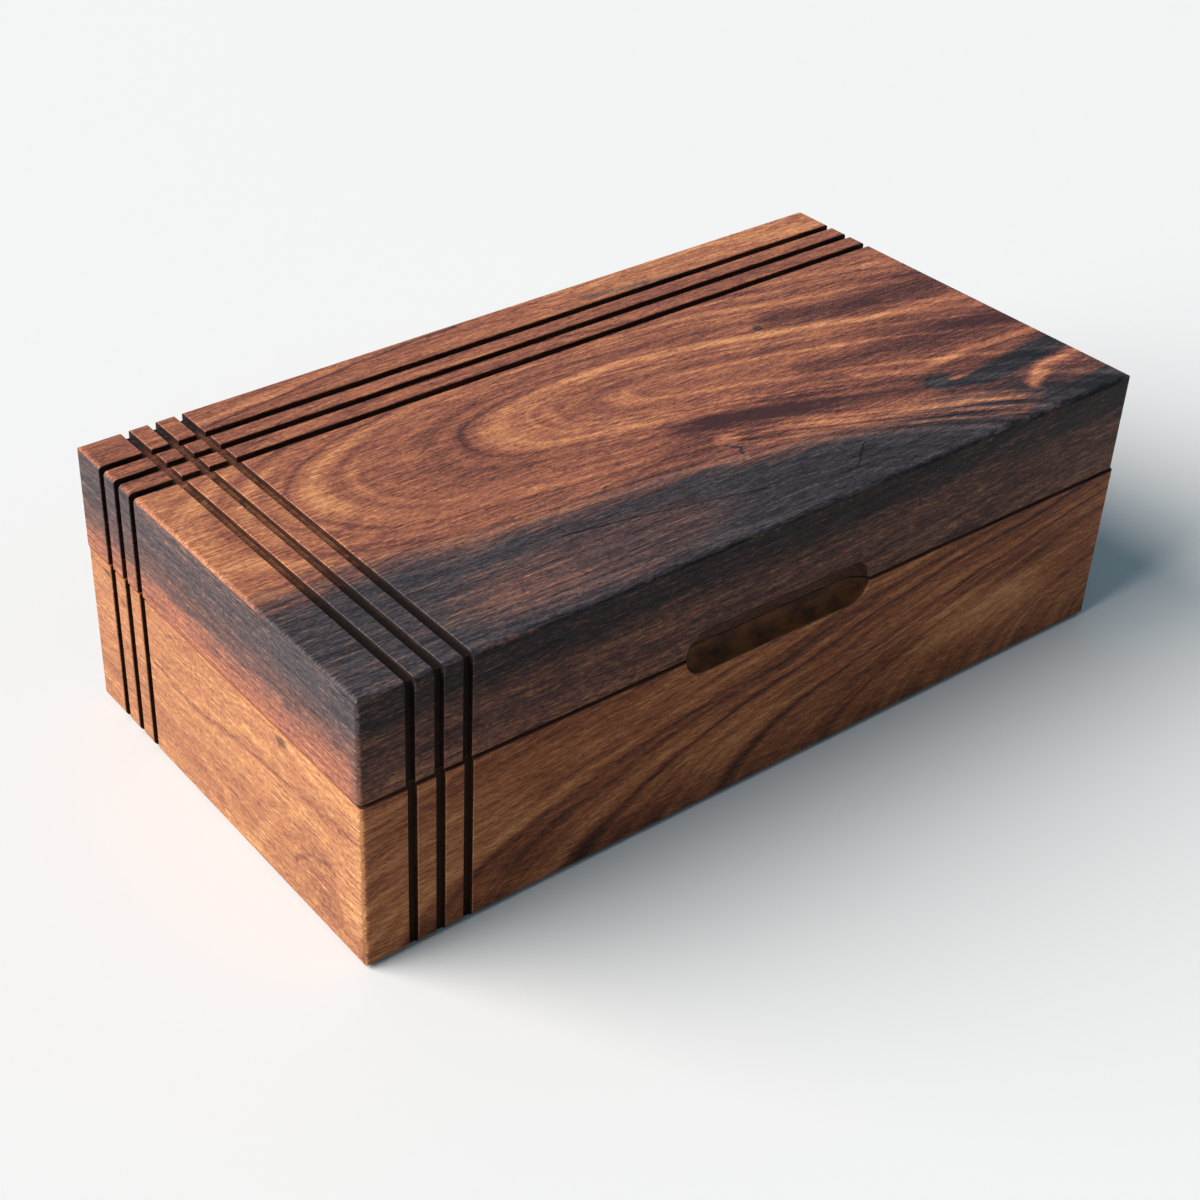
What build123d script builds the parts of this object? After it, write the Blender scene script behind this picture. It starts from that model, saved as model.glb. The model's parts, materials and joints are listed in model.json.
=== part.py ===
from build123d import *
import os

os.makedirs("parts", exist_ok=True)

# A keepsake box carved from solid hardwood. A hollowed base and a hollowed lid meet at a
# straight seam, with a finger pull cut half in each at the front. The lid hangs on two brass
# stop hinges let into the back rims, and its own weight keeps it shut.
# Millimetres. X runs along the box's length, Y from its front to its back, Z up, and the
# origin is the middle of the base's underside.

# Wooden bodies
length = 305.0            # left end to right end
depth = 158.0             # front to back
base_height = 60.0        # underside to the base's rim
lid_height = 35.7         # the lid's rim to its top
seam_gap = 0.3            # air between the two rims when the lid is shut
lid_set_left = 0.1        # how far the hung lid stands to the left of the base
lid_set_back = 0.7        # how far it stands behind the base
wall = 14.0               # side walls round the base's hollow
base_floor = 10.0
lid_top = 12.0
hollow_corner = 10.0      # upright corners of both hollows, left by the router bit

# Edges
edge_round = 1.8          # round the lid's top, and the upright corners of both bodies
mouth_ease = 0.2          # mouths of the grooves and outer edges of the rims
rim_ease = 0.4            # inner edges of the rims
base_foot_round = 3.0     # round the base's underside
lid_back_round = 2.5      # along the lid's lower back edge, where it swings over the rim

# Saw grooves: one set crosses the box near its left end, one runs along it near the back
groove_count = 3
groove_width = 3.2
groove_depth = 2.0
groove_first = 16.8       # from the end or the back to the middle of the first groove
groove_pitch = 9.5

# Finger pull, cut with a ball-nosed bit
pull_length = 76.0        # its mouth, end to end
pull_height = 16.4        # its mouth, a little more of it in the lid than in the base
pull_lift = 0.6           # how far its middle stands above the seam's
pull_depth = 5.3

# Stop hinges
opening_angle = 95.0      # where the heels on the knuckles meet the other leaf's back edge
hinge_from_end = 60.0     # from either end of the box to the middle of its hinge
hinge_length = 40.0
leaf_width = 11.0         # from the box's back to the leaf's front edge
leaf_thickness = 2.0
leaf_corner = 2.5
knuckle_count = 3         # the base's leaf has the outer ones, the lid's leaf the one between
knuckle_gap = 0.2
barrel_radius = 3.0
barrel_clearance = 0.3    # between the barrel and whatever passes it
heel_width = 1.9          # how much of the other leaf's edge a heel bears on
stop_clearance = 0.03     # left between heel and leaf with the lid fully open
pin_radius = 1.25
pin_clearance = 0.05
pin_proud = 0.4           # each end of the pin beyond the knuckles

# Countersunk slotted wood screws
screw_count = 2           # in each leaf
screw_pitch = 26.0
screw_inset = 5.5         # from the box's back to the screws
screw_length = 12.0
screw_shank_radius = 1.4
screw_head_radius = 2.6
screw_slot_width = 0.6
screw_slot_depth = 0.7
screw_turn = 35.0         # between one screw's slot and the next

fit = 0.05                # round the leaves in their pockets, and round the screws
overrun = 2.0             # how far a cutter runs past the face that it opens

# What follows from those sizes
lid_rim = base_height + seam_gap
lid_place = Pos(-lid_set_left, lid_set_back, lid_rim)
barrel_reach = barrel_radius + barrel_clearance
hinge_line = depth / 2 + lid_set_back               # the lid's back face
axis_y = hinge_line + barrel_reach
axis_z = base_height + seam_gap / 2
hinge_xs = (hinge_from_end - length / 2, length / 2 - hinge_from_end)
rising = (Align.CENTER, Align.CENTER, Align.MIN)


# ---------------------------------------------------------------- wooden bodies
def groove_offsets():
    """Distances of the grooves' middles from the left end, and again from the back."""
    return [groove_first + i * groove_pitch for i in range(groove_count)]


def groove_cutter(slab, core):
    """What a saw takes out when it follows three or four faces of a block round its core."""
    return Box(*slab, align=rising) - Box(*core, align=rising)


def grooved_block(height, over_top):
    """A block with both sets of grooves sawn into its sides, and into its top as well."""
    block = Box(length, depth, height, align=rising)
    slab_height = height + overrun
    core_height = height - groove_depth if over_top else slab_height
    for offset in groove_offsets():
        crossing = groove_cutter(
            (groove_width, depth + overrun, slab_height),
            (groove_width, depth - 2 * groove_depth, core_height),
        )
        along = groove_cutter(
            (length + overrun, groove_width, slab_height),
            (length - 2 * groove_depth, groove_width, core_height),
        )
        block -= Pos(-length / 2 + offset, 0, 0) * crossing
        block -= Pos(0, depth / 2 - offset, 0) * along
    return block


def is_at(value, *places):
    return any(abs(value - place) < 0.001 for place in places)


def outer_edges(block, height, with_foot):
    """The edges on the block's sides and top, and round its underside where with_foot says so."""
    found = []
    for edge in block.edges():
        middle = edge.center()
        on_side = is_at(abs(middle.X), length / 2) or is_at(abs(middle.Y), depth / 2)
        on_foot = is_at(middle.Z, 0)
        if on_foot and not with_foot:
            continue
        if on_side or on_foot or is_at(middle.Z, height):
            found.append(edge)
    return found


def round_cutter(radius, run):
    """Rounds a lower edge that runs along X, with the block behind and above it."""
    corner = Box(run, radius, radius, align=(Align.CENTER, Align.MIN, Align.MIN))
    return corner - Pos(0, radius, radius) * Rot(0, 90, 0) * Cylinder(radius, run + overrun)


def round_below(block, radius):
    """Rounds the four edges of a block's underside."""
    for turn, reach, run in ((0, depth, length), (90, length, depth)):
        cutter = Pos(0, -reach / 2, 0) * round_cutter(radius, run + overrun)
        block -= Rot(0, 0, turn) * cutter
        block -= Rot(0, 0, turn + 180) * cutter
    return block


def round_corners(block, height):
    """Rounds the four upright corners of a block."""
    upright = Rot(0, 90, 0) * round_cutter(edge_round, height + overrun)
    for x, y, turn in ((-1, -1, 0), (1, -1, 90), (1, 1, 180), (-1, 1, 270)):
        block -= Pos(x * length / 2, y * depth / 2, height / 2) * Rot(0, 0, turn) * upright
    return block


def hollow_tool(height):
    """The hollow of either body, standing on its flat bottom."""
    tool = Box(length - 2 * wall, depth - 2 * wall, height + overrun, align=rising)
    return fillet(tool.edges().filter_by(Axis.Z), hollow_corner)


def ease_rim(body, rim):
    """Takes the sharpness off the inner edge of the rim at the given height."""
    edges = []
    for face in body.faces().filter_by(Axis.Z):
        if is_at(face.center().Z, rim):
            for wire in face.inner_wires():
                edges += wire.edges()
    return chamfer(edges, rim_ease)


def pull_tool():
    """The path of a ball-nosed bit whose middle travels outside the front face."""
    half = pull_height / 2
    bit = (half**2 + pull_depth**2) / (2 * pull_depth)
    travel = pull_length - pull_height
    path = Rot(0, 90, 0) * Cylinder(bit, travel)
    path += Pos(-travel / 2, 0, 0) * Sphere(bit) + Pos(travel / 2, 0, 0) * Sphere(bit)
    return Pos(0, -depth / 2 - (bit - pull_depth), axis_z + pull_lift) * path


def base_body():
    body = grooved_block(base_height, over_top=False)
    body = chamfer(outer_edges(body, base_height, with_foot=False), mouth_ease)
    body = round_below(round_corners(body, base_height), base_foot_round)
    body -= Pos(0, 0, base_floor) * hollow_tool(base_height - base_floor)
    body = ease_rim(body, base_height)
    body -= pull_tool()
    for x in hinge_xs:
        body -= Pos(x, axis_y, axis_z) * hinge_pocket()
    return body


def lid_body():
    body = grooved_block(lid_height, over_top=True)
    body = chamfer(outer_edges(body, lid_height, with_foot=True), mouth_ease)
    body = round_corners(body, lid_height)
    middle = Plane.XY.offset(lid_height / 2)
    body = mirror(round_below(mirror(body, about=middle), edge_round), about=middle)
    cutter = Pos(0, -depth / 2, 0) * round_cutter(lid_back_round, length + overrun)
    body = lid_place * (body - Rot(0, 0, 180) * cutter)
    hollow = Rot(180, 0, 0) * hollow_tool(lid_height - lid_top)
    body -= Pos(0, 0, lid_rim + lid_height - lid_top) * hollow
    body = ease_rim(body, lid_rim)
    body -= pull_tool()
    for x in hinge_xs:
        body -= Pos(x, axis_y, axis_z) * in_lid(hinge_pocket())
    return body


# ---------------------------------------------------------------- hinges
# Each piece is drawn about the hinge's axis, as it lies in the base with the box shut.
def in_lid(piece):
    """Turns a piece of the base's half into the lid's, across the seam."""
    return mirror(piece, about=Plane.XY)


def knuckle_spans(first):
    """Start and length of every second knuckle, counted from the hinge's left end."""
    run = (hinge_length - (knuckle_count - 1) * knuckle_gap) / knuckle_count
    step = run + knuckle_gap
    return [(-hinge_length / 2 + i * step, run) for i in range(first, knuckle_count, 2)]


def leaf_plate(grow):
    """The flat of a leaf in its pocket, or the pocket's shape where grow is its clearance."""
    plate = Box(
        hinge_length + 2 * grow,
        leaf_width + grow + overrun,
        leaf_thickness,
        align=(Align.CENTER, Align.MIN, Align.MAX),
    )
    plate = Pos(0, -barrel_reach - leaf_width - grow, -seam_gap / 2) * plate
    corners = plate.edges().filter_by(Axis.Z).group_by(Axis.Y)[0]
    return fillet(corners, leaf_corner)


def knuckle_section():
    """Barrel round the pin, the web that joins it to the leaf, and the heel that stops the lid."""
    low = -seam_gap / 2 - leaf_thickness / 2
    web = Pos(-(barrel_reach + leaf_width / 2) / 2, low)
    heel_face = barrel_reach - stop_clearance
    section = Circle(barrel_radius)
    section += web * Rectangle(barrel_reach + leaf_width / 2, leaf_thickness)
    section += Rot(0, 0, 90 - opening_angle) * Rectangle(
        heel_width, heel_face, align=(Align.MIN, Align.MIN)
    )
    return section - Circle(pin_radius + pin_clearance)


def hinge_leaf(first_knuckle):
    back = Pos(0, -barrel_reach, 0) * Box(
        2 * hinge_length, 2 * depth, 2 * depth, align=(Align.CENTER, Align.MIN, Align.CENTER)
    )
    leaf = leaf_plate(0) - back
    for start, run in knuckle_spans(first_knuckle):
        leaf += extrude(Plane.YZ.offset(start) * knuckle_section(), run)
    for place in screw_places():
        leaf -= place * screw_hole()
    return leaf


def hinge_pocket():
    """The mortise of one leaf, with the pilot holes of its screws."""
    pocket = leaf_plate(fit)
    for place in screw_places():
        pocket += place * screw_hole()
    return pocket


def hinge_pin():
    return Rot(0, 90, 0) * Cylinder(pin_radius, hinge_length + 2 * pin_proud)


# ---------------------------------------------------------------- screws
def screw_places():
    """Where the screws of one leaf sit, as the leaf lies in the base."""
    places = []
    for i in range(screw_count):
        x = (i - (screw_count - 1) / 2) * screw_pitch
        turn = Rot(0, 0, (i + 1) * screw_turn)
        places.append(Pos(x, -barrel_reach - screw_inset, -seam_gap / 2) * turn)
    return places


def screw_blank(grow):
    """A screw without its slot, or the hole round it where grow is the clearance."""
    head = screw_head_radius + grow
    shank = screw_shank_radius + grow
    profile = Polyline(
        (0, 0),
        (head, 0),
        (shank, shank - head),
        (shank, -screw_length - grow),
        (0, -screw_length - grow),
        close=True,
    )
    return revolve(Plane.XZ * make_face(profile), Axis.Z)


def screw_hole():
    above = Cylinder(screw_head_radius + fit, overrun, align=rising)
    return screw_blank(fit) + above


def wood_screw():
    slot = Box(3 * screw_head_radius, screw_slot_width, 2 * screw_slot_depth)
    return screw_blank(0) - slot


# ---------------------------------------------------------------- assembly
def build():
    nodes = {"base_body": [base_body()], "lid_body": [lid_body()]}
    base_screws = []
    for side, x in zip(("left", "right"), hinge_xs):
        place = Pos(x, axis_y, axis_z)
        nodes[f"hinge_{side}_base_leaf"] = [place * hinge_leaf(0)]
        nodes[f"hinge_{side}_lid_leaf"] = [place * in_lid(hinge_leaf(1))]
        nodes[f"hinge_{side}_pin"] = [place * hinge_pin()]
        base_screws += [place * spot * wood_screw() for spot in screw_places()]
    nodes["base_hinge_screws"] = base_screws
    nodes["lid_hinge_screws"] = [Pos(0, 0, 2 * axis_z) * in_lid(screw) for screw in base_screws]
    return nodes


for name, solids in build().items():
    shape = solids[0] if len(solids) == 1 else Compound(children=solids)
    export_step(shape, f"parts/{name}.step")
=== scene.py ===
import bpy
import json
import math
from types import SimpleNamespace
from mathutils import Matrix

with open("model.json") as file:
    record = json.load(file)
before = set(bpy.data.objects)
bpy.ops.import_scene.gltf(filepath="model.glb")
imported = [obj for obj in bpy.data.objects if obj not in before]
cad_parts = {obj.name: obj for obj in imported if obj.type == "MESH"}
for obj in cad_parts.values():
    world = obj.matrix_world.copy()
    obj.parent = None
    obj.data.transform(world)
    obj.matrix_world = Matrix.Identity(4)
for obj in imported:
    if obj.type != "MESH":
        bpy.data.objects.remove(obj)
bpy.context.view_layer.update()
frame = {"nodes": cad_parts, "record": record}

# Sizes of the box in millimetres, as the woods are laid out in them
LENGTH = 305.0
DEPTH = 158.0
HEIGHT = 96.0
RIM = 60.0                      # the base's rim above the underside
LID_LEFT = 0.1                  # how far the lid stands to the left of the base
LID_BACK = 0.7                  # how far it stands behind the base
GROOVES = (16.8, 26.3, 35.8)    # their middles, from the left end and again from the back
GROOVE_HALF = 1.6
GROOVE_DEPTH = 2.0
PULL_MIDDLE = 60.75             # above the underside
PULL_HALF_LENGTH = 38.0
PULL_HALF_HEIGHT = 8.2
PULL_DEPTH = 5.3
MM_IN_M = 1000.0

# The lid's hairpin rings, in millimetres from its left end and its back
HAIRPIN_AXIS = 70.5             # from the back, at the left end
HAIRPIN_DRIFTS_FROM = 105.0     # to the right of here the axis drifts to the front
HAIRPIN_BEND_END = 185.0        # the bend lies to the left of here
HAIRPIN_BEND = 144.0            # the bend's length
HAIRPIN_HALF = 39.0             # half its width
HAIRPIN_SHAPE = 2.3             # 2 would be an ellipse, and more is squarer
# The orange band near the front right corner of the lid's top
ORANGE_BAND = ((274, 144), (286, 137), (310, 136))
# How far the lid's fan of streaks moves to the front for each millimetre to the right
FAN_SLOPE = 0.43

# The base's arched rings
ARCH_START = 80.0               # the ring at the front's lower left corner
ARCH_FALL = 16.8                # how much its square falls for each millimetre to the right

# The light, the floor and the camera, which stands at the photograph's viewing angle
FLOOR_HALF = 20.0               # metres, so that the floor fills the photograph's view
FLOOR_GREY = 0.52
WINDOW_HEADING = 115.0          # degrees clockwise from the front, seen from above
WINDOW_HEIGHT = 31.0            # degrees above the floor
WINDOW_SPREAD = 62.0            # degrees across
WINDOW_STRENGTH = 9.2
WINDOW_COLOUR = (1.0, 0.945, 0.905)
SKY_COLOUR = (0.54, 0.82, 1.0)
SKY_STRENGTH = 0.36
CAMERA_PLACE = (-0.37756, -0.43457, 0.42196)    # metres
CAMERA_ANGLES = (55.0906, -0.3327, -35.6469)    # degrees
CAMERA_SENSOR = 36.0                            # millimetres, as is the lens
CAMERA_LENS = 61.874
CAMERA_SHIFT = 0.1167                           # of the picture's width
CAMERA_REACH = 100.0                            # metres


# ---------------------------------------------------------------- writing materials as sums
class Num:
    """A number that varies over a surface. It takes part in sums like any other number."""

    graph = None

    def __init__(self, socket):
        self.socket = socket

    def __add__(self, other):
        return math_node("ADD", self, other)

    def __radd__(self, other):
        return math_node("ADD", other, self)

    def __sub__(self, other):
        return math_node("SUBTRACT", self, other)

    def __rsub__(self, other):
        return math_node("SUBTRACT", other, self)

    def __mul__(self, other):
        return math_node("MULTIPLY", self, other)

    def __rmul__(self, other):
        return math_node("MULTIPLY", other, self)

    def __truediv__(self, other):
        return math_node("DIVIDE", self, other)

    def __pow__(self, other):
        return math_node("POWER", self, other)


def node(kind, inputs=(), **settings):
    """Add a shader node to the material being written, with its inputs and its settings."""
    made = Num.graph.nodes.new("ShaderNode" + kind)
    for key, value in settings.items():
        setattr(made, key, value)
    for key, value in dict(inputs).items():
        feed(made.inputs[key], value)
    return made


def feed(socket, value):
    """Link a varying number to a socket, or set a fixed value on it."""
    if isinstance(value, Num):
        Num.graph.links.new(value.socket, socket)
    else:
        socket.default_value = value


def math_node(operation, *values):
    made = node("Math", dict(enumerate(values)), operation=operation)
    return Num(made.outputs[0])


def larger(a, b):
    return math_node("MAXIMUM", a, b)


def smaller(a, b):
    return math_node("MINIMUM", a, b)


def share(value):
    """The value, held between 0 and 1."""
    return smaller(larger(value, 0.0), 1.0)


def size_of(value):
    return math_node("ABSOLUTE", value)


def rise(value, low, high):
    """0 below low and 1 above high, with a smooth step between. It falls where high is lower."""
    made = node(
        "MapRange",
        {"Value": value, "From Min": low, "From Max": high},
        interpolation_type="SMOOTHSTEP",
    )
    return Num(made.outputs["Result"])


def hill(value, middle, reach):
    """1 at middle, falling smoothly to 0 at reach either side of it."""
    return rise(size_of(value - middle), reach, 0.0)


def blob(x, y, middle, reach):
    """1 at a point, falling smoothly to 0 on an ellipse round it."""
    across = ((x - middle[0]) / reach[0]) ** 2.0
    up = ((y - middle[1]) / reach[1]) ** 2.0
    return rise(across + up, 1.0, 0.0)


def trail(x, y, reach, *points):
    """1 on the line through the points, falling smoothly to 0 at reach from it."""
    nearest = 1.0e6
    for start, end in zip(points, points[1:]):
        run, drop = end[0] - start[0], end[1] - start[1]
        dx, dy = x - start[0], y - start[1]
        along = share((dx * run + dy * drop) * (1.0 / (run**2 + drop**2)))
        nearest = smaller(nearest, (dx - along * run) ** 2.0 + (dy - along * drop) ** 2.0)
    return rise(nearest ** 0.5, reach, 0.0)


def rings(ring, *each):
    """Growth rings that stand out, each with its place, its reach and its strength."""
    return sum(hill(ring, place, reach) * strength for place, reach, strength in each)


def trails(x, y, *each):
    """Streaks, each with its reach, its strength and the points that it runs through."""
    return sum(trail(x, y, reach, *points) * strength for reach, strength, *points in each)


def blobs(x, y, *each):
    """Patches, each with its middle, its reach both ways and its strength."""
    return sum(blob(x, y, middle, reach) * strength for middle, reach, strength in each)


def grain(x, y, z, detail=2.0, roughness=0.5):
    """Noise about 0, mostly between -1 and 1. The three numbers set its place and its stretch."""
    place = node("CombineXYZ", {"X": x, "Y": y, "Z": z})
    made = node(
        "TexNoise",
        {"Vector": Num(place.outputs[0]), "Scale": 1.0, "Detail": detail, "Roughness": roughness},
    )
    return (Num(made.outputs[0]) - 0.5) * 3.0


def ramp(value, *stops):
    """A colour for each place along a value."""
    made = node("ValToRGB", {"Fac": value})
    elements = made.color_ramp.elements
    while len(elements) < len(stops):
        elements.new(0.5)
    for element, (place, colour) in zip(elements, stops):
        element.position = place
        element.color = (*colour, 1.0)
    return Num(made.outputs[0])


def blend(amount, first, second):
    """The first colour where amount is 0 and the second where it is 1."""
    made = node("Mix", {0: amount}, data_type="RGBA")
    for socket, value in ((made.inputs[6], first), (made.inputs[7], second)):
        feed(socket, value if isinstance(value, Num) else (*value, 1.0))
    return Num(made.outputs[2])


def new_material(name):
    """An empty material, which the functions above write to from now on."""
    made = bpy.data.materials.new(name)
    made.use_nodes = True
    made.node_tree.nodes.clear()
    Num.graph = made.node_tree
    return made


def surface(colour, roughness, height=None, bump=0.0, **fixed):
    """The shader itself. Height is in millimetres, and fixed values go straight to its sockets."""
    shader = node("BsdfPrincipled", {"Base Color": colour, "Roughness": roughness})
    for key, value in fixed.items():
        shader.inputs[key.replace("_", " ")].default_value = value
    if height is not None:
        relief = node("Bump", {"Height": height, "Strength": bump, "Distance": 1.0 / MM_IN_M})
        Num.graph.links.new(relief.outputs[0], shader.inputs["Normal"])
    out = node("OutputMaterial")
    Num.graph.links.new(shader.outputs[0], out.inputs["Surface"])


# ---------------------------------------------------------------- what both woods share
def places(left=0.0, back=0.0):
    """Where a point of a body lies, in millimetres, and which way the face there looks."""
    spot = node("TexCoord")
    parts = node("SeparateXYZ", {"Vector": Num(spot.outputs["Object"])})
    x, y, z = (Num(parts.outputs[i]) * MM_IN_M for i in range(3))
    facing = node("SeparateXYZ", {"Vector": Num(spot.outputs["Normal"])})
    at = SimpleNamespace()
    at.u = x + (LENGTH / 2 + left)      # from the body's left end
    at.v = (DEPTH / 2 + back) - y       # from its back
    at.up = z                           # above the box's underside
    at.t = HEIGHT - z                   # below its top
    at.end = rise(size_of(Num(facing.outputs[0])), 0.8, 0.9)
    at.front = rise(Num(facing.outputs[1]), -0.8, -0.9)
    at.side = smaller(smaller(at.u, LENGTH - at.u), smaller(at.v, DEPTH - at.v))
    at.along = at.u + (at.v - at.u) * at.end
    at.beside = at.v + (at.u - at.v) * at.end
    return at


def add_fibres(at):
    """Threads, single fibres, flecks and pores, all drawn out along the grain."""
    at.threads = grain(at.along / 18.0, at.beside / 1.1, at.up / 1.1, 2.0, 0.6)
    at.fibre = grain(at.along / 5.0, at.beside / 0.55, at.up / 0.55, 2.0, 0.6)
    at.pores = rise(grain(at.along / 3.0, at.beside / 0.45, at.up / 0.45, 1.0), 0.42, 0.8)
    flecks = grain(at.along / 1.6, at.beside / 0.6, at.up / 0.6, 1.0)
    return at.threads * 0.20 + at.fibre * 0.32 + flecks * 0.20


def add_grooves(at, skin):
    """Masks for the walls and the floors of the saw grooves, which reach below the skin."""
    inside = 0.0
    for across in (at.u, at.v):
        for middle in GROOVES:
            inside = larger(inside, rise(size_of(across - middle), GROOVE_HALF + 0.1, GROOVE_HALF))
    inside = inside * rise(skin, GROOVE_DEPTH + 0.3, GROOVE_DEPTH + 0.1) * rise(skin, 0.15, 0.35)
    at.groove_floor = inside * rise(skin, GROOVE_DEPTH - 0.15, GROOVE_DEPTH - 0.03)
    at.groove_wall = inside * (1.0 - at.groove_floor)
    at.groove = inside


def in_pull(at):
    """1 on the scooped face of the finger pull, falling to 0 at its rim."""
    from_middle = size_of(at.u - LENGTH / 2)
    within = rise(from_middle, PULL_HALF_LENGTH + 0.4, PULL_HALF_LENGTH - 0.2)
    from_centre_line = size_of(at.up - PULL_MIDDLE)
    within = within * rise(from_centre_line, PULL_HALF_HEIGHT + 0.3, PULL_HALF_HEIGHT - 0.1)
    sunk = DEPTH - at.v
    return within * rise(sunk, 0.3, 0.9) * rise(sunk, PULL_DEPTH + 1.7, PULL_DEPTH + 1.2)


def waxed(at, colour, roughness):
    """Oiled and waxed open-pored wood."""
    height = at.fibre * 0.05 - at.pores * 0.22 + at.fine * 0.03
    roughness = roughness + at.fibre * 0.06 + at.groove * 0.3
    surface(colour, roughness, height, 0.6, Specular_IOR_Level=0.1)


# ---------------------------------------------------------------- the lid's wood
def add_lid_rings(at):
    """Growth rings: hairpins that open to the right round an axis drifting to the front."""
    at.sway = grain(at.u / 90.0, at.v / 30.0, at.t / 30.0, 1.0) * 2.6
    at.wobble = grain(at.u / 24.0, at.v / 6.0, at.t / 6.0, 2.0)
    drift = larger(at.u - HAIRPIN_DRIFTS_FROM, 0.0) ** 2.0 * 0.00135
    across = size_of(at.v - HAIRPIN_AXIS - drift + at.sway + at.wobble)
    ahead = larger(HAIRPIN_BEND_END - at.u + at.sway, 0.0) / HAIRPIN_BEND
    spread = HAIRPIN_HALF + larger(at.u - 190.0, 0.0) * 0.156
    hairpin = ((across / spread) ** HAIRPIN_SHAPE + ahead ** HAIRPIN_SHAPE) ** 0.435
    inner = hairpin * 36.0 - at.t * 2.0
    ends = 70.0 - at.t * 4.0 + at.sway + at.wobble * 0.8
    at.ring = inner + (ends - inner) * at.end
    at.x = at.u + at.wobble * 1.6
    at.y = at.v + at.sway * 0.5 + at.wobble * 0.8


def lid_bright_marks(at):
    """Pale rings, streaks and patches on the top."""
    pale_rings = rings(
        at.ring,
        (45.5, 2.2, 0.16),
        (40.5, 1.5, 0.12),
        (34.9, 2.2, 0.20),      # the outer hairpin
        (31.6, 0.9, 0.13),
        (18.8, 2.6, 0.26),      # the inner hairpin
        (15.4, 0.7, 0.14),
        (13.4, 1.0, 0.18),
        (6.6, 1.7, 0.24),       # the core of them both
    )
    streaks = trails(
        at.x,
        at.y,
        (4.0, 0.18, (150, 55), (185, 55), (225, 68), (262, 79), (310, 87)),
        (1.6, 0.16, (205, 66), (236, 77), (310, 83)),
        (3.4, 0.34, (230, 105), (250, 115), (272, 114), (310, 118)),
        (4.2, 0.46, *ORANGE_BAND),
        (2.6, 0.22, (36, 10), (64, 6.5), (98, 4)),
    )
    patches = blobs(
        at.x,
        at.y,
        ((167.0, 113.0), (6.0, 5.0), 0.32),
        ((84.0, 65.0), (9.0, 5.0), 0.16),
    )
    left_glow = blob(at.u, at.v, (6.0, 66.0), (60.0, 44.0)) * 0.14
    return pale_rings + streaks + patches + left_glow


def lid_dark_marks(at):
    """Dark ring lines and smoky patches on the top."""
    dark_rings = rings(
        at.ring,
        (43.0, 0.8, 0.14),
        (37.2, 0.6, 0.16),      # outside the outer hairpin
        (25.5, 2.4, 0.12),
        (21.7, 0.6, 0.16),      # outside the inner hairpin
        (10.0, 1.6, 0.12),
    )
    streaks = trails(
        at.x,
        at.y,
        (11.0, 0.34, (236, 60), (262, 67), (310, 71)),
        (7.0, 0.30, (160, 97), (172, 101)),
        (9.0, 0.30, (172, 101), (200, 108), (222, 115), (240, 121)),
        (11.0, 0.28, (222, 94), (262, 99), (310, 104)),
        (1.1, 0.36, (38, 13), (62, 9.5), (100, 5), (142, 3)),
    )
    before_heartwood = rise(at.v, 90.0, 112.0) * rise(at.u, 60.0, 130.0) * 0.10
    behind_grooves = rise(at.v, 40.0, 28.0) * rise(at.v, 20.0, 28.0) * 0.10
    right_end = rise(at.v, 50.0, 66.0) * rise(at.u, 232.0, 274.0) * 0.14
    smoke = blob(at.u, at.v, (180.0, 109.0), (44.0, 13.0)) * 0.24
    return dark_rings + streaks + before_heartwood + behind_grooves + right_end + smoke


def lid_fan(at):
    """Where a fan of streaks runs to the front right, and the streaks in it."""
    across = at.y - at.x * FAN_SLOPE
    along = at.x + at.y * FAN_SLOPE
    from_middle = size_of(across - (110.0 - 170.0 * FAN_SLOPE))
    fan = rise(from_middle, 13.0, 3.0) * rise(at.x, 158.0, 172.0) * rise(at.x, 274.0, 262.0)
    return fan, grain(across / 1.7, along / 70.0, at.t / 9.0, 2.0, 0.65)


def heartwood_on_top(at, fan, fan_line):
    """A dark band along the top's front, less what is pale in it, and dark spots outside it."""
    u, v, t, x, y = at.u, at.v, at.t, at.x, at.y
    edge = v - 108.0 - larger(u - 60.0, 0.0) * 0.13 + rise(u, 75.0, 45.0) * 4.0 + at.sway * 1.5
    band = rise(edge + at.streaks * 9.0 + at.lines * 2.5, -7.0, 11.0) * rise(t, 22.0, 9.0)
    brown_zone = blob(u, v, (92.0, 141.0), (64.0, 18.0)) * rise(at.streaks, -0.9, 0.8)
    brown_corner = blob(u, v, (298.0, 144.0), (24.0, 12.0))
    island = blob(x, y, (258.5, 125.5), (8.0, 2.8))
    band = band * (1.0 - brown_zone * 0.42) * (1.0 - brown_corner * 0.45)
    band = band * (1.0 - smaller(fan * rise(fan_line, -0.6, 0.7) + island, 1.0))
    band = band * (1.0 - trail(x, y, 5.0, *ORANGE_BAND))
    blot = trail(x, y, 8.5, (248, 124), (264, 131), (276, 130), (308, 127))
    blot = blot * rise(at.streaks, -2.2, -0.9) * (1.0 - island) * 1.7
    strips = trails(
        x,
        y,
        (5.5, 1.6, (254, 160), (272, 153), (310, 152)),
        (3.0, 0.8, (192, 10.5), (212, 13.0), (236, 16.0)),
        (1.4, 1.2, (165, 116), (167.5, 119), (166.5, 122)),
    )
    knot = blob(u, v, (226.3, 62.6), (2.4, 1.9)) * 1.3
    spots = (blot + strips + knot) * rise(t, 9.0, 0.0)
    return larger(band, smaller(spots, 1.0))


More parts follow.
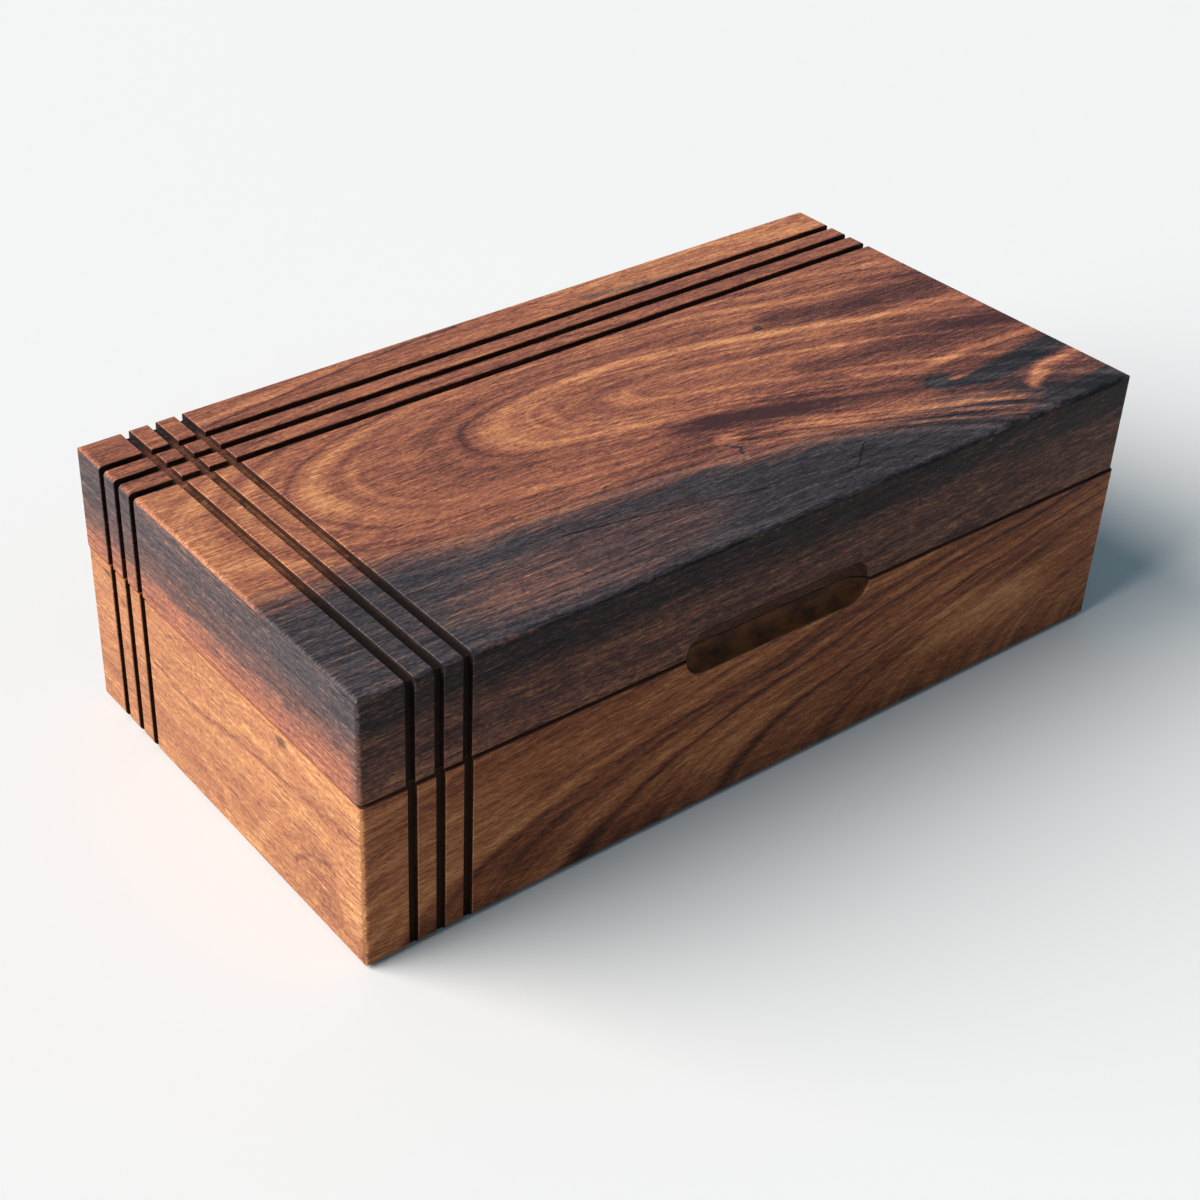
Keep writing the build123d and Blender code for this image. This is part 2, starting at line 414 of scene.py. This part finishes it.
def heartwood_down_sides(at):
    """It fills the lid's front, browner towards the seam, and the upper part of the other sides."""
    u, v, t = at.u, at.v, at.t
    rising = grain((t + u * 0.17) / 2.6, u / 70.0, v / 40.0, 3.0, 0.6)
    wisps = at.streaks + (rising * 1.3 - at.streaks) * at.front
    level = t + wisps * 7.0 + at.wobble * 1.5
    brown_left = blob(u, t, (40.0, 36.0), (90.0, 12.0)) * 0.22
    on_front = rise(level, 19.0, 8.0) * 0.34 + 0.66
    on_front = on_front + wisps * 0.30 + at.threads * 0.05 - brown_left
    on_end = rise(level, 30.0, 12.0) * (0.95 + at.streaks * 0.12)
    on_end = larger(on_end, hill(level, 21.0, 11.0) * rise(v, 150.0, 118.0) * 0.80)
    below = on_end + (on_front - on_end) * rise(v, 152.0, 157.0)
    return below * rise(t, 0.2, 1.4) * rise(at.side, 14.0, 9.0)


def lid_colours(at, tone):
    """The red-brown wood, whose darker tones carry a faint painted blue sheen, and the near-black
    heartwood, lighter and bluer on the top and ends by a painted sheen and darker and browner on the
    front as painted shade.
    """
    light = ramp(
        tone,
        (0.0, (0.038, 0.015, 0.015)),
        (0.28, (0.100, 0.037, 0.028)),
        (0.5, (0.194, 0.067, 0.041)),
        (0.72, (0.300, 0.114, 0.057)),
        (1.0, (0.48, 0.220, 0.095)),
    )
    char_tone = tone * 1.3 + at.streaks * 0.16 - 0.13
    # The heartwood on the top and the ends, lightened and tinted blue by a painted sheen.
    charred = ramp(
        char_tone,
        (0.0, (0.009, 0.008, 0.010)),
        (0.4, (0.026, 0.022, 0.025)),
        (0.62, (0.044, 0.038, 0.043)),
        (0.8, (0.078, 0.048, 0.043)),
        (1.0, (0.16, 0.082, 0.052)),
    )
    # The same heartwood, darker and browner, as painted shade on the front.
    heartwood_in_painted_shade = ramp(
        char_tone - 0.10,
        (0.0, (0.004, 0.002, 0.002)),
        (0.4, (0.018, 0.011, 0.012)),
        (0.62, (0.035, 0.019, 0.017)),
        (0.8, (0.065, 0.030, 0.020)),
        (1.0, (0.14, 0.055, 0.028)),
    )
    return light, blend(at.front, charred, heartwood_in_painted_shade)


def lid_painted_shade_and_cracks(at, colour):
    """Darken the grooves, the finger pull and the edge along the seam as painted shade, the grooves
    also for their darker end grain, and darken the cracks.
    """
    add_grooves(at, smaller(at.side, at.t))
    # Painted shade in the saw grooves, on their walls and their floors, along with the darker end
    # grain of the cuts.
    colour = blend(at.groove_wall * 0.86, colour, (0.008, 0.004, 0.003))
    in_dark = larger(larger(at.end, at.front), rise(at.v, 88.0, 118.0))
    colour = blend(at.groove_floor * (in_dark * 0.40 + 0.52), colour, (0.008, 0.004, 0.002))
    cracks = trail(at.x, at.y, 0.7, (92, 127), (120, 132), (158, 141))
    cracks = cracks + trail(at.x, at.y, 0.7, (190, 148), (202, 139))
    # Painted shadow along the lid's lower edge at the seam, and painted shade in the finger pull; the
    # cracks are the wood's own.
    seam = rise(at.up, RIM + 0.9, RIM + 0.5) * rise(at.side, 2.0, 0.8)
    shade_and_cracks = in_pull(at) * 0.70 + cracks * rise(at.t, 9.0, 0.0) * 0.8 + seam * 0.8
    return blend(smaller(shade_and_cracks, 0.9), colour, (0.006, 0.003, 0.002))


def lid_wood():
    """Red-brown wood with pale and dark hairpins, near-black along the front."""
    made = new_material("lid_wood")
    at = places(LID_LEFT, LID_BACK)
    add_lid_rings(at)
    broad = grain(at.ring / 14.0, at.u / 160.0, at.t / 200.0, 1.0)
    at.lines = grain(at.ring / 2.8, at.u / 80.0, at.v / 160.0, 2.0, 0.6)
    at.fine = grain(at.ring / 0.8, at.u / 40.0, at.v / 60.0, 2.0, 0.65)
    at.streaks = grain(at.along / 40.0, at.beside / 2.2, at.t / 2.2, 3.0, 0.65)
    fan, fan_line = lid_fan(at)
    fibres = add_fibres(at) * (1.0 + at.end * 0.2 + at.front * 0.4)
    tone = 0.5 + broad * 0.12 + at.lines * 0.12 + at.fine * 0.15 + fibres
    marks = lid_bright_marks(at) - lid_dark_marks(at) + fan * (fan_line * 0.50 + 0.04)
    tan_back = rise(at.v, 20.0, 13.0) * rise(at.u, 130.0, 215.0) * 0.22
    tone = tone + marks * rise(at.t, 9.0, 0.0) + tan_back
    light, charred = lid_colours(at, tone)
    dark = share(larger(heartwood_on_top(at, fan, fan_line), heartwood_down_sides(at)))
    colour = blend(dark, light, charred)
    colour = blend(at.pores * 0.72, colour, (0.010, 0.005, 0.004))
    waxed(at, lid_painted_shade_and_cracks(at, colour), 0.43 + dark * 0.03)
    return made


# ---------------------------------------------------------------- the base's wood
def add_base_rings(at):
    """Growth rings: arches on the front that climb from the underside and level to the right."""
    at.sway = grain(at.u / 80.0 + 7.0, at.v / 40.0, at.up / 24.0, 1.0) * 3.0
    at.wobble = grain(at.u / 20.0 + 3.0, at.v / 8.0, at.up / 6.0, 2.0)
    climb = larger(at.up + at.sway + at.wobble, 0.0) ** 2.0
    climb = climb + ARCH_START**2 - at.u * ARCH_FALL
    inner = larger(climb, 100.0) ** 0.5 + (DEPTH - at.v) * 0.8
    ends = at.up * 0.9 + hill(at.v, 55.0, 60.0) * 5.0 + at.sway * 2.0 + at.wobble * 0.8
    at.ring = inner + (ends - inner) * at.end
    at.x = at.v + at.wobble * 2.5 + at.sway
    at.y = at.up + at.wobble * 1.2


def base_front_marks(at):
    """Dark arches, each with a brown band inside it, pale patches between them, and painted shade
    towards the underside.
    """
    arches = 0.0
    for place, reach, depth in (
        (77.5, 0.7, 0.25),
        (75.6, 1.0, 0.30),
        (71.6, 0.9, 0.42),
        (68.0, 1.2, 0.18),
        (64.7, 0.9, 0.42),
        (58.5, 1.2, 0.20),
    ):
        band = rings(at.ring, (place, reach, 0.72), (place - 1.2, 2.4, 0.22))
        arches = arches + band * depth
    pale_rings = rings(at.ring, (73.4, 1.1, 0.16), (79.4, 1.3, 0.20))
    right_patch = blob(at.u + at.wobble * 4.0, at.up + at.wobble, (243.0, 27.0), (42.0, 13.0))
    right_edge = trail(at.u + at.wobble * 2.0, at.up, 2.2, (206, 25), (222, 33), (262, 41), (305, 47))
    patches = blobs(
        at.u,
        at.up,
        ((108.0, 24.0), (60.0, 18.0), 0.14),
        ((44.0, 3.0), (26.0, 13.0), 0.26),
        ((0.0, 36.0), (70.0, 30.0), 0.12),
    )
    # Painted shade, darker towards the underside.
    shade_near_floor = rise(at.up, 16.0, 0.0) * 0.12
    marks = pale_rings + patches + right_patch * 0.32 - right_edge * 0.14 - arches - shade_near_floor
    return marks * rise(at.v, DEPTH - 8.0, DEPTH)


def base_left_marks(at):
    """A bowed dark line, a soft pale V and a swirl on the left end."""
    curl = trails(
        at.x,
        at.y,
        (1.8, 1.0, (36, 39.5), (62, 35.5), (108, 42), (160, 46)),
        (1.5, 1.0, (122, 16), (129, 24), (141, 27)),
    )
    curl = curl + blob(at.x, at.y, (140.0, 14.0), (16.0, 11.0)) * 0.5
    vee = trail(at.x, at.y, 4.5, (70, 20), (98, 3), (114, 26), (124, 36))
    vee = vee + blob(at.x, at.y, (150.0, 22.0), (9.0, 12.0))
    return vee * 0.13 - curl * 0.24 + rise(at.up, 36.0, 58.0) * 0.08


def base_colour(at, tone):
    """Tan wood, and a darker, redder copy of it on the front as painted shade."""
    tan = ramp(
        tone,
        (0.0, (0.080, 0.028, 0.017)),
        (0.28, (0.167, 0.062, 0.031)),
        (0.5, (0.252, 0.102, 0.048)),
        (0.72, (0.350, 0.163, 0.066)),
        (1.0, (0.48, 0.27, 0.105)),
    )
    # The same wood, darker and redder, as painted shade on the front.
    tan_in_painted_shade = ramp(
        tone,
        (0.0, (0.034, 0.009, 0.004)),
        (0.28, (0.114, 0.031, 0.012)),
        (0.5, (0.205, 0.061, 0.022)),
        (0.72, (0.310, 0.112, 0.040)),
        (1.0, (0.43, 0.20, 0.078)),
    )
    return blend(at.front, tan, tan_in_painted_shade)


def base_knots(at):
    """Three small knots near the top of the left end."""
    found = blobs(
        at.x,
        at.y,
        ((116.0, 56.3), (4.5, 2.0), 1.0),
        ((12.6, 55.7), (3.4, 1.2), 1.0),
        ((20.8, 49.4), (3.4, 1.2), 1.0),
    )
    return smaller(found, 1.0)


def base_painted_shade_and_highlight(at, colour):
    """Darken the grooves and the finger pull as painted shade, the grooves also for their darker end
    grain, and paint a highlight and a shadow on the edge along the seam.
    """
    add_grooves(at, at.side)
    # Painted shade in the saw grooves, along with the darker end grain of the cuts.
    groove = at.groove_wall * 0.88 + at.groove_floor * 0.94
    colour = blend(groove, colour, (0.010, 0.005, 0.003))
    # A painted highlight, orange, on the rim's edge at the ends and the back, and painted shade,
    # near-black, on it at the front.
    seam = rise(at.up, RIM - 0.5, RIM - 0.1) * rise(at.side, 2.0, 0.6) * (1.0 - at.groove)
    seam_highlight_and_shade = blend(rise(at.v, 150.0, 156.0), (0.20, 0.055, 0.008), (0.006, 0.003, 0.002))
    colour = blend(seam * 0.85, colour, seam_highlight_and_shade)
    # Painted shade in the finger pull, with a dark brown mottle.
    mottle = rise(grain(at.u / 9.0, at.up / 5.0, at.v / 5.0, 2.0), -0.7, 0.7)
    pull_shade_and_mottle = blend(mottle, (0.012, 0.002, 0.001), (0.090, 0.026, 0.004))
    return blend(in_pull(at) * 0.94, colour, pull_shade_and_mottle)


def base_wood():
    """Tan wood, painted darker and redder on the front as shade, with arches there and knots on the
    left end.
    """
    made = new_material("base_wood")
    at = places()
    add_base_rings(at)
    broad = grain(at.ring / 10.0 + 5.0, at.u / 150.0, at.v / 200.0, 1.0)
    lines = grain(at.ring / 2.2, at.u / 80.0, at.v / 160.0, 2.0, 0.6)
    at.fine = grain(at.ring / 0.7, at.u / 40.0, at.v / 60.0, 2.0, 0.65)
    on_left = at.end * rise(at.u, 20.0, 10.0)
    fibres = add_fibres(at) * (1.0 + at.end * 0.3 - at.front * 0.15)
    tone = 0.5 + broad * 0.14 + lines * 0.13 + at.fine * (0.15 + at.front * 0.12) + fibres
    tone = tone + base_front_marks(at) + base_left_marks(at) * on_left
    colour = base_colour(at, tone)
    colour = blend(base_knots(at) * on_left * 0.75, colour, (0.032, 0.016, 0.012))
    colour = blend(at.pores * 0.66, colour, (0.026, 0.009, 0.006))
    waxed(at, base_painted_shade_and_highlight(at, colour), 0.45)
    return made


# ---------------------------------------------------------------- brass
def brass(name, colour):
    """Satin brass, brushed along the box and a little cloudy."""
    made = new_material(name)
    at = places()
    brushed = grain(at.u / 6.0, at.v / 0.12, at.up / 0.12, 2.0, 0.6)
    clouds = grain(at.u / 7.0, at.v / 7.0, at.up / 7.0, 3.0)
    dull = tuple(c * 0.62 for c in colour)
    tint = blend(rise(clouds, -0.2, 1.1) * 0.7, colour, dull)
    surface(tint, 0.30 + brushed * 0.05 + clouds * 0.06, brushed * 0.012, 0.3, Metallic=1.0)
    return made


made_for_slot = {
    "base_wood": base_wood(),
    "lid_wood": lid_wood(),
    "hinge_brass": brass("hinge_brass", (0.70, 0.50, 0.23)),
    "screw_brass": brass("screw_brass", (0.76, 0.56, 0.28)),
}
for piece in frame["record"]["subparts"]:
    solid = frame["nodes"][piece["node"]]
    solid.data.materials.clear()
    solid.data.materials.append(made_for_slot[piece["material_slot"]])


# ---------------------------------------------------------------- floor, light and camera
def floor():
    """One matt grey plane under the box."""
    half = FLOOR_HALF
    mesh = bpy.data.meshes.new("floor")
    corners = [(-half, -half, 0), (half, -half, 0), (half, half, 0), (-half, half, 0)]
    mesh.from_pydata(corners, [], [(0, 1, 2, 3)])
    made = bpy.data.objects.new("floor", mesh)
    bpy.context.scene.collection.objects.link(made)
    material = new_material("floor")
    surface((FLOOR_GREY, FLOOR_GREY, FLOOR_GREY, 1.0), 0.9)
    mesh.materials.append(material)


def window():
    """One wide soft light, far from the box."""
    data = bpy.data.lights.new("window", "SUN")
    data.angle = math.radians(WINDOW_SPREAD)
    data.energy = WINDOW_STRENGTH
    data.color = WINDOW_COLOUR
    made = bpy.data.objects.new("window", data)
    tilt = math.radians(90.0 - WINDOW_HEIGHT)
    made.rotation_euler = (tilt, 0.0, -math.radians(WINDOW_HEADING))
    bpy.context.scene.collection.objects.link(made)


def sky():
    """Faint blue light from all round, which fills the shadows."""
    made = bpy.data.worlds.new("studio")
    made.use_nodes = True
    background = made.node_tree.nodes["Background"]
    background.inputs["Color"].default_value = (*SKY_COLOUR, 1.0)
    background.inputs["Strength"].default_value = SKY_STRENGTH
    bpy.context.scene.world = made


def camera():
    """The camera, where the box's edges in the photograph put it."""
    data = bpy.data.cameras.new("camera")
    data.sensor_width = CAMERA_SENSOR
    data.lens = CAMERA_LENS
    data.shift_x = CAMERA_SHIFT
    data.clip_end = CAMERA_REACH
    made = bpy.data.objects.new("camera", data)
    made.location = CAMERA_PLACE
    made.rotation_euler = [math.radians(angle) for angle in CAMERA_ANGLES]
    bpy.context.scene.collection.objects.link(made)
    bpy.context.scene.camera = made


floor()
window()
sky()
camera()
bpy.context.scene.view_settings.view_transform = "Standard"
